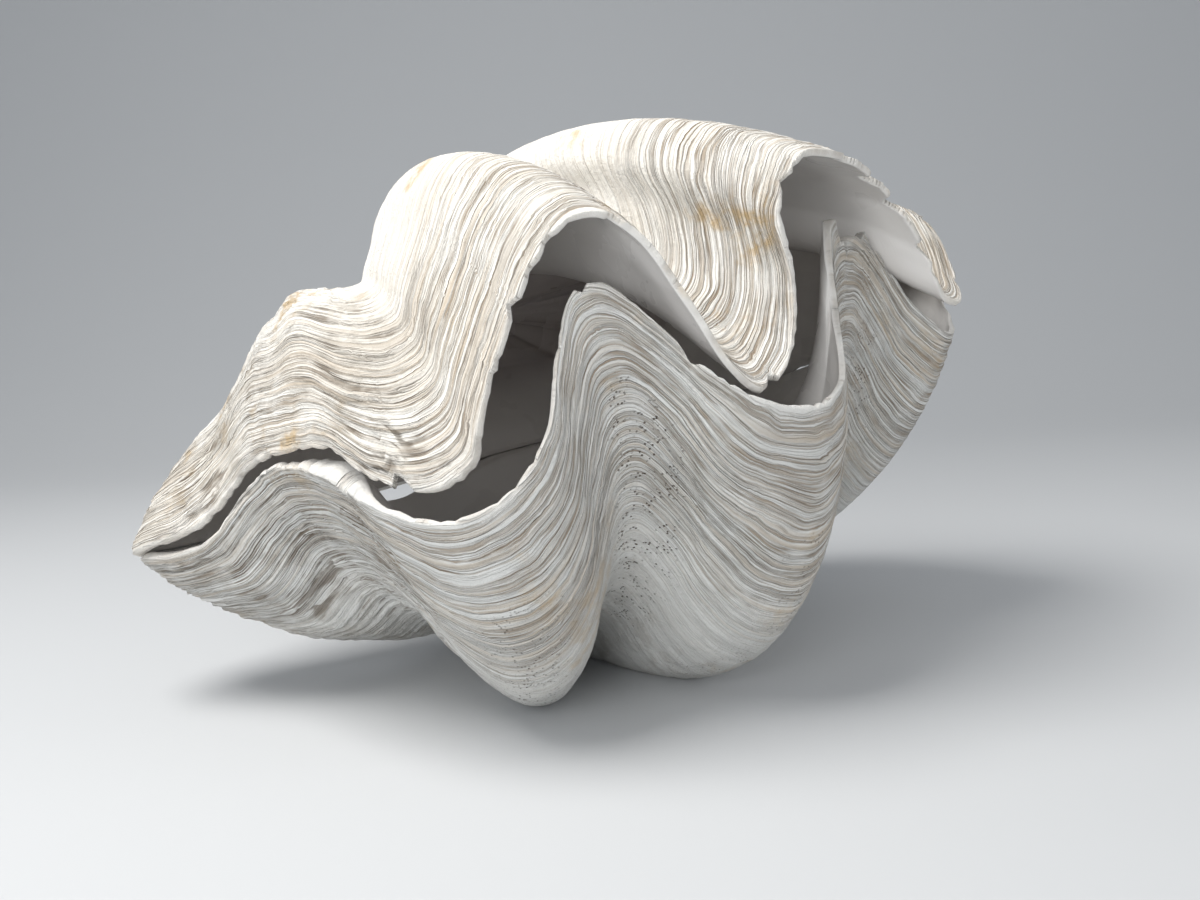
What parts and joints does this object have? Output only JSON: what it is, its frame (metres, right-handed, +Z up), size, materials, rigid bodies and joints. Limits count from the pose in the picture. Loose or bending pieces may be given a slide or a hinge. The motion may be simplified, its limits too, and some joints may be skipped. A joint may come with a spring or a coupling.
{
  "type": "giant clam shell",
  "caption": "Giant clam shell of matching deeply fluted valves, lying a little open on its lower valve, for display or as a sea-bed or beach prop.",
  "frame": {"origin": "on the ground under the middle of the shell's bounding box", "axes": "+Z up, +X along the shell's length and hinge, -Y toward the fluted mouth"},
  "size_m": [0.536, 0.3832, 0.3488],
  "materials": {
    "lower_shell": "chalky outside with growth lines, smooth porcelain inside",
    "upper_shell": "chalky outside with growth lines and ochre stains, smooth porcelain inside"
  },
  "bodies": {
    "root": {"lower_valve": "lower_shell", "upper_valve": "upper_shell"}
  },
  "joints": []
}
